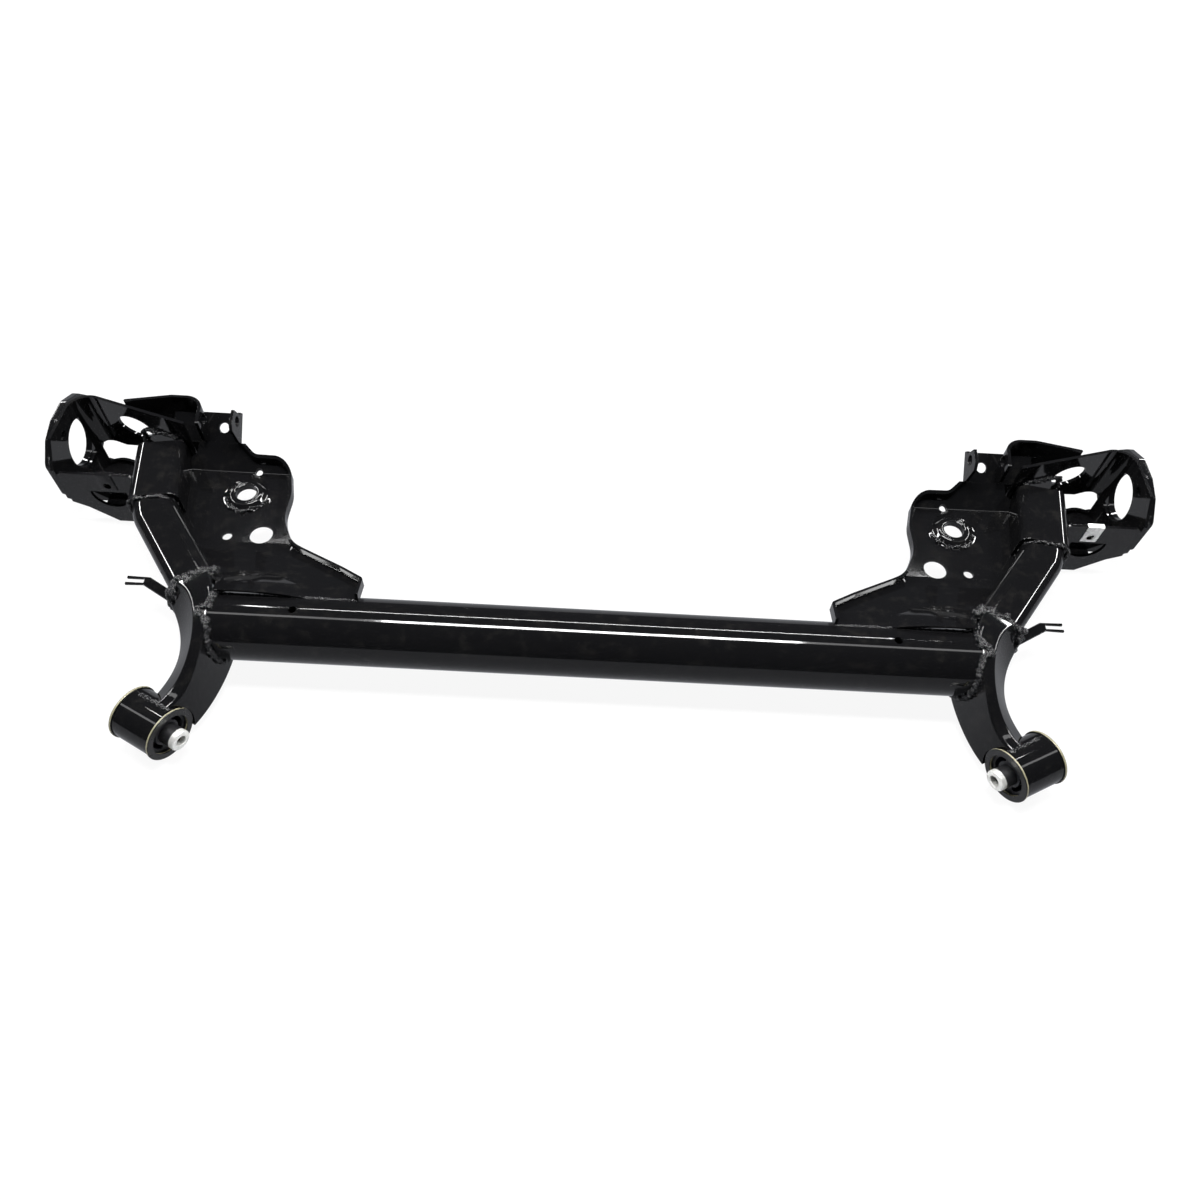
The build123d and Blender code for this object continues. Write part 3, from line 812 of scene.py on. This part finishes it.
@dataclass
class Seams:
    """All the weld beads of one side."""

    side: Side
    finishes: Finishes
    prober: Prober
    arm_joint: Hoop = Hoop((461, -219, ARM_Z), 36.7, 26.5, 30.0, 14, 20)
    saddle_front: Hoop = Hoop((544, -104.5, ARM_Z), 8, 27.0, 30.5, 14, 4)
    saddle_rear: Hoop = Hoop((559, -1, ARM_Z), -17, 29, 32.5, 13, 2)
    beam_clearance: float = 1.2
    beam_start: float = 380.0
    arm_reach: float = 0.45
    pan_back: float = -240.0
    pan_top: float = 88.2
    ring_radius: float = 24.5
    ring_top: float = 57.0
    plate_clear: float = 42.0
    plate_foot: float = 14.0
    housing_start: Spot = (470.4, -362.6, 57.2)

    def bead(self, name: str, line: Iterable[Vector], **sizes: float) -> Piece:
        """Make one bead of this side.

        Args:
            name: Where the bead lies.
            line: Its line on the left side.
            sizes: Sizes that differ from a plain bead's.

        Returns:
            The bead.
        """
        points = [Vector((spot.x * self.side.value, spot.y, spot.z)) for spot in line]
        name, seed = f"weld_{name}_{self.side.word}", len(name) + self.side.value
        return WeldBead(name, points, seed=seed, **sizes).make(self.finishes)

    def beam_end(self) -> list[Vector]:
        """Follow the beam's end round the front arm.

        Returns:
            The points where lines along the beam meet the arm.
        """
        spots, reach = [], BEAM_RADIUS + self.beam_clearance
        for step in range(61):
            angle = radians(-75 + 5.5 * step)
            start = Vector((self.beam_start, BEAM_Y - reach * cos(angle), BEAM_Z + reach * sin(angle))) * MM
            hit = self.prober.hit("front_arm_left", start, Vector((1, 0, 0)))
            if hit is not None and hit.x < self.arm_reach:
                spots.append(hit - Vector((0.0008, 0, 0)))
        return spots

    def pan_line(self) -> list[Vector]:
        """Follow the pan's edge along the beam."""
        return [place(x, self.pan_back, self.pan_top) for x in range(270, 428, 6)]

    def seat_ring(self) -> list[Vector]:
        """Go round the spring seat's foot."""
        turns = [-step * pi / 30 for step in range(2, 29)]
        return [place(SEAT_STATION + self.ring_radius * cos(turn), SEAT_BACK + self.ring_radius * sin(turn),
                      self.ring_top) for turn in turns]

    def plate_line(self) -> list[Vector]:
        """Follow the hub plate's front edge, where its bracket is welded on.

        Returns:
            The edge's points, in their order round the hub.
        """
        mesh = NODES["hub_plate_left"].data
        inner = min(vertex.co.x for vertex in mesh.vertices)
        hub = place(0, 0, HUB_Z)
        rim = [vertex.co.copy() for vertex in mesh.vertices if vertex.co.x < inner + 0.5 * MM]
        rim = [spot for spot in rim if (spot.yz - hub.yz).length > self.plate_clear * MM
               and spot.y < hub.y and spot.z > self.plate_foot * MM]
        rim.sort(key=lambda spot: atan2(spot.z - hub.z, hub.y - spot.y))
        return [spot + Vector((0.001, 0.0008, 0)) for spot in rim]

    def housing_line(self) -> list[Vector]:
        """Follow the front arm's end along the bush housing."""
        axis = Vector((cos(BUSH_YAW), sin(BUSH_YAW), 0))
        return [place(*self.housing_start) + axis * (along * MM) for along in range(-22, 18, 2)]

    def make(self) -> list[Piece]:
        """Build every bead of this side.

        Returns:
            The beads.
        """
        return [
            self.bead("beam_end", self.beam_end(), radius=3.4, strands=2),
            self.bead("arm_joint", self.arm_joint.line(), radius=4.2, rough=0.5, strands=3),
            self.bead("saddle_front", self.saddle_front.line(), radius=2.6),
            self.bead("saddle_rear", self.saddle_rear.line(), radius=2.8, strands=2),
            self.bead("pan_edge", self.pan_line(), radius=2.0),
            self.bead("seat_ring", self.seat_ring(), radius=1.7, rough=0.9, strands=2),
            self.bead("housing", self.housing_line(), radius=2.6),
            self.bead("hub_plate", self.plate_line(), radius=2.0, rough=0.5)]


@dataclass
class TorsionBeam:
    """The crushed tube: round at its ends, its underside pushed up into a groove in the middle."""

    finishes: Finishes
    name: str = "torsion_beam_skin"
    end: float = 432.5
    bore: float = 35.4
    crush_half: float = 190.0
    transition: float = 130.0
    steps: int = 20
    mouth: float = radians(42.0)
    lip: float = radians(26.0)
    lip_rise: float = 9.0
    ceiling: float = 28.0
    back_wall: float = 2.0
    hole_station: float = 336.0
    hole_radius: float = 4.5
    hole_depth: float = 20.0
    edge_angle: float = radians(25)

    @staticmethod
    def arc(start: Point, middle: Point, end: Point, steps: int) -> list[Point]:
        """Draw the arc through three points.

        Args:
            start: The arc's first point.
            middle: A point on its way.
            end: Its last point.
            steps: How many parts it is divided into.

        Returns:
            Its points without the last one.
        """
        (ax, ay), (bx, by), (cx, cy) = start, middle, end
        twist = 2 * (ax * (by - cy) + bx * (cy - ay) + cx * (ay - by))
        a, b, c = ax * ax + ay * ay, bx * bx + by * by, cx * cx + cy * cy
        ox = (a * (by - cy) + b * (cy - ay) + c * (ay - by)) / twist
        oy = (a * (cx - bx) + b * (ax - cx) + c * (bx - ax)) / twist
        radius = ((ax - ox) ** 2 + (ay - oy) ** 2) ** 0.5
        first, mid, last = (atan2(y - oy, x - ox) for x, y in (start, middle, end))
        turn = (last - first) % (2 * pi)
        if (mid - first) % (2 * pi) > turn:
            turn -= 2 * pi
        angles = [first + turn * step / steps for step in range(steps)]
        return [(ox + radius * cos(angle), oy + radius * sin(angle)) for angle in angles]

    def section(self, x: float) -> list[Point]:
        """Draw the tube's outline, seen along the beam.

        Args:
            x: The station across the axle.

        Returns:
            The outline's points, from the tube's centre.
        """
        share = min(max((abs(x) - self.crush_half) / self.transition, 0.0), 1.0)
        ceiling = self.ceiling - (self.ceiling + BEAM_RADIUS) * share * share * (3 - 2 * share)
        depth = (ceiling + BEAM_RADIUS) / (self.ceiling + BEAM_RADIUS)
        turn = (self.mouth + self.lip) / 2
        side = (BEAM_RADIUS * sin(self.mouth), -BEAM_RADIUS * cos(self.mouth))
        edge = (BEAM_RADIUS * sin(turn), -BEAM_RADIUS * cos(turn))
        groove = (BEAM_RADIUS * sin(self.lip), -BEAM_RADIUS * cos(self.lip) + self.lip_rise * depth)
        left = [(-y, z) for y, z in (side, edge, groove)]
        return (self.arc(left[0], (0, BEAM_RADIUS), side, 72) + self.arc(side, edge, groove, 8)
                + self.arc(groove, (0, ceiling), left[2], 24) + self.arc(left[2], left[1], left[0], 8))

    def rings(self) -> list[list[Spot]]:
        """Set the outline at each station, with the bores at the ends.

        Returns:
            The rings in millimetres, from the back of the left bore to the back of the right one.
        """
        shares = [1 - step / self.steps for step in range(self.steps + 1)]
        stations = [self.end, *(self.crush_half + self.transition * share for share in shares), 0.0]
        stations += [-x for x in reversed(stations[:-1])]
        rings = [[(x, BEAM_Y + y, BEAM_Z + z) for y, z in self.section(x)] for x in stations]
        inner = self.bore / BEAM_RADIUS
        for x in (self.end, self.crush_half + self.transition + self.back_wall):
            rings.insert(0, [(x, BEAM_Y + y * inner, BEAM_Z + z * inner) for y, z in self.section(self.end)])
            rings.append([(-x, BEAM_Y + y * inner, BEAM_Z + z * inner) for y, z in self.section(self.end)])
        return rings

    def make(self) -> list[Piece]:
        """Build the beam with its two drain holes.

        Returns:
            The beam.
        """
        mesh = bmesh.new()
        loops = [[mesh.verts.new(Vector(spot) * MM) for spot in ring] for ring in self.rings()]
        for first, second in zip(loops, loops[1:]):
            for corners in zip(first, first[1:] + first[:1], second[1:] + second[:1], second):
                mesh.faces.new(corners)
        for loop in (loops[0], loops[-1]):
            mesh.faces.new(loop)
        bmesh.ops.recalc_face_normals(mesh, faces=mesh.faces)
        beam = new_piece(self.name, mesh)
        for side in Side:
            spot = Vector((side.value * self.hole_station, BEAM_Y, BEAM_Z + BEAM_RADIUS)) * MM
            cut(beam, drill(spot, self.hole_radius, self.hole_depth, 32))
        pick(beam)
        bpy.ops.object.shade_smooth_by_angle(angle=self.edge_angle)
        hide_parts("torsion_beam")
        return [finish_piece(beam, self.finishes.paint)]


@dataclass
class SpringSeats:
    """The turned-up seats of the springs, on the pans. The profile gives radii and heights."""

    finishes: Finishes
    profile: tuple[Point, ...] = (
        (30.2, 55.5), (27.0, 55.8), (25.4, 56.6), (24.0, 58.0), (21.0, 61.3), (19.6, 62.5), (18.4, 62.9),
        (15.0, 62.9), (13.2, 62.4), (12.5, 61.2), (12.5, 55.0), (29.5, 55.0))
    edge_angle: float = radians(50)

    def seat(self, side: Side) -> Piece:
        """Spin one seat.

        Args:
            side: The end of the axle.

        Returns:
            The painted seat.
        """
        centre = side.at((SEAT_STATION, SEAT_BACK, 0))
        mesh = bmesh.new()
        verts = [mesh.verts.new(centre + Vector((r, 0, z)) * MM) for r, z in self.profile]
        edges = [mesh.edges.new(pair) for pair in zip(verts, verts[1:] + verts[:1])]
        bmesh.ops.spin(mesh, geom=verts + edges, cent=centre, axis=(0, 0, 1), angle=2 * pi, steps=72)
        bmesh.ops.remove_doubles(mesh, verts=mesh.verts, dist=DOUBLES)
        bmesh.ops.recalc_face_normals(mesh, faces=mesh.faces)
        seat = new_piece(f"spring_seat_{side.word}", mesh)
        pick(seat)
        bpy.ops.object.shade_smooth_by_angle(angle=self.edge_angle)
        return finish_piece(seat, self.finishes.paint)

    def make(self) -> list[Piece]:
        """Build the seat of each side."""
        return [self.seat(side) for side in Side]


class Strip(NamedTuple):
    """A strip lamp across the axle, on an arc round the beam. Sizes are in metres."""

    name: str
    angle: float
    reach: float
    length: float
    width: float
    watts: float


@dataclass
class Studio:
    """The floor, the lights and the camera."""

    lens_pixels: float = 946.6
    frame_pixels: float = 1200.0
    elevation: float = radians(54.773)
    turn: float = radians(-0.986)
    roll: float = radians(3.74)
    station: Spot = (-0.00773, -0.84107, 0.96521)
    strips: tuple[Strip, ...] = (
        Strip("strip_above", 97, 2.4, 1.5, 0.26, 92.0),
        Strip("strip_behind", 128, 2.8, 2.76, 0.04, 27.5),
        Strip("strip_soft", 97, 2.4, 7.0, 0.26, 24.0))
    side_across: float = 2.5
    side_back: float = 1.9
    side_height: float = 2.0
    side_size: Point = (3.4, 0.2)
    side_watts: float = 136.0
    aim_height: float = 0.05
    floor_size: float = 30.0
    floor_drop: float = 0.0004
    floor_grey: Colour = (0.86, 0.86, 0.86)
    mirrored_grey: Colour = (0.47, 0.48, 0.51)
    shadow_share: float = 0.08
    room: Colour = (0.05, 0.053, 0.060)
    white: Colour = (1, 1, 1)

    def camera(self) -> None:
        """Set the camera at the photograph's viewing angle."""
        forward = Vector((-sin(self.turn) * cos(self.elevation), cos(self.turn) * cos(self.elevation),
                          -sin(self.elevation)))
        level = Vector((cos(self.turn), sin(self.turn), 0))
        down = forward.cross(level)
        right = level * cos(self.roll) - down * sin(self.roll)
        below = level * sin(self.roll) + down * cos(self.roll)
        data = bpy.data.cameras.new("studio_camera")
        data.sensor_width = 36.0
        data.lens = self.lens_pixels * data.sensor_width / self.frame_pixels
        data.clip_end = 60.0
        camera = bpy.data.objects.new("studio_camera", data)
        matrix = Matrix((right, -below, -forward)).transposed().to_4x4()
        matrix.translation = Vector(self.station) + Vector((0, HUB_Y * MM, 0))
        camera.matrix_world = matrix
        bpy.context.scene.collection.objects.link(camera)
        bpy.context.scene.camera = camera

    def lamp(self, name: str, spot: Spot, aim: Spot, size: Point, watts: float) -> None:
        """Hang one rectangular lamp.

        Args:
            name: The lamp's name.
            spot: Where it hangs.
            aim: What it shines at.
            size: Its length and width.
            watts: Its power.
        """
        data = bpy.data.lights.new(name, "AREA")
        data.shape = "RECTANGLE"
        data.size, data.size_y = size
        data.energy = watts
        lamp = bpy.data.objects.new(name, data)
        lamp.location = spot
        lamp.rotation_euler = (Vector(aim) - Vector(spot)).to_track_quat("-Z", "Y").to_euler()
        bpy.context.scene.collection.objects.link(lamp)

    def floor(self) -> None:
        """Lay a plain pale floor that keeps the axle's shadow."""
        bpy.ops.object.select_all(action="DESELECT")
        bpy.ops.mesh.primitive_plane_add(size=self.floor_size, location=(0, 0, -self.floor_drop))
        floor = bpy.context.view_layer.objects.active
        floor.name = "studio_floor"
        graph = Graph("pale_floor")
        rays = graph.node("ShaderNodeLightPath", {}, {}).outputs
        mirrored = Value(graph, rays["Is Glossy Ray"])
        seen = (Value(graph, rays["Is Camera Ray"]) * (1 - self.shadow_share)).maths("MAXIMUM", mirrored)
        matt = graph.node("ShaderNodeBsdfDiffuse", {}, {"Color": (*self.floor_grey, 1)})
        light = graph.mix(mirrored, self.white, self.mirrored_grey)
        glow = graph.node("ShaderNodeEmission", {}, {"Color": light, "Strength": 1.0})
        blend = graph.node("ShaderNodeMixShader", {}, {0: seen, 1: matt.outputs[0], 2: glow.outputs[0]})
        graph.tree.links.new(blend.outputs[0], graph.output.inputs[0])
        floor.data.materials.append(graph.material)

    def world(self) -> None:
        """Fill the room with dim, even light in front of a white backdrop."""
        world = bpy.data.worlds.new("studio_room")
        world.use_nodes = True
        tree = world.node_tree
        rays = tree.nodes.new("ShaderNodeLightPath")
        blend = tree.nodes.new("ShaderNodeMix")
        blend.data_type = "RGBA"
        blend.inputs[6].default_value = (*self.room, 1)
        blend.inputs[7].default_value = (*self.white, 1)
        tree.links.new(rays.outputs["Is Camera Ray"], blend.inputs[0])
        tree.links.new(blend.outputs[2], tree.nodes["Background"].inputs["Color"])
        bpy.context.scene.world = world

    def lamps(self) -> None:
        """Hang the strips over the beam and one at each side."""
        beam_y = BEAM_Y * MM
        for name, degrees, reach, length, width, watts in self.strips:
            angle = radians(degrees)
            spot = (0, beam_y - reach * cos(angle), reach * sin(angle))
            self.lamp(name, spot, (0, beam_y, self.aim_height), (length, width), watts)
        for side in Side:
            spot = (side.value * self.side_across, self.side_back, self.side_height)
            self.lamp(f"strip_{side.word}", spot, (0, self.side_back, self.aim_height), self.side_size,
                      self.side_watts)

    def make(self) -> None:
        """Set up the whole studio."""
        self.camera()
        self.floor()
        self.world()
        self.lamps()
        bpy.context.scene.view_settings.view_transform = "Standard"


def main() -> None:
    """Build the axle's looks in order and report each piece."""
    logging.basicConfig(level=logging.INFO, format="%(name)s: %(message)s")
    bpy.ops.object.select_all(action="DESELECT")
    Studio().make()
    log.info("studio set")
    finishes, prober = Finishes(), Prober()
    assemblies = (TorsionBeam(finishes), PaintedShells(finishes), SpringSeats(finishes), Bushes(finishes),
                  *(Seams(side, finishes, prober) for side in Side))
    for assembly in assemblies:
        for piece in assembly.make():
            log.info("%s: %s", type(assembly).__name__, piece.name)
    bpy.context.view_layer.update()


if __name__ == "__main__":
    main()
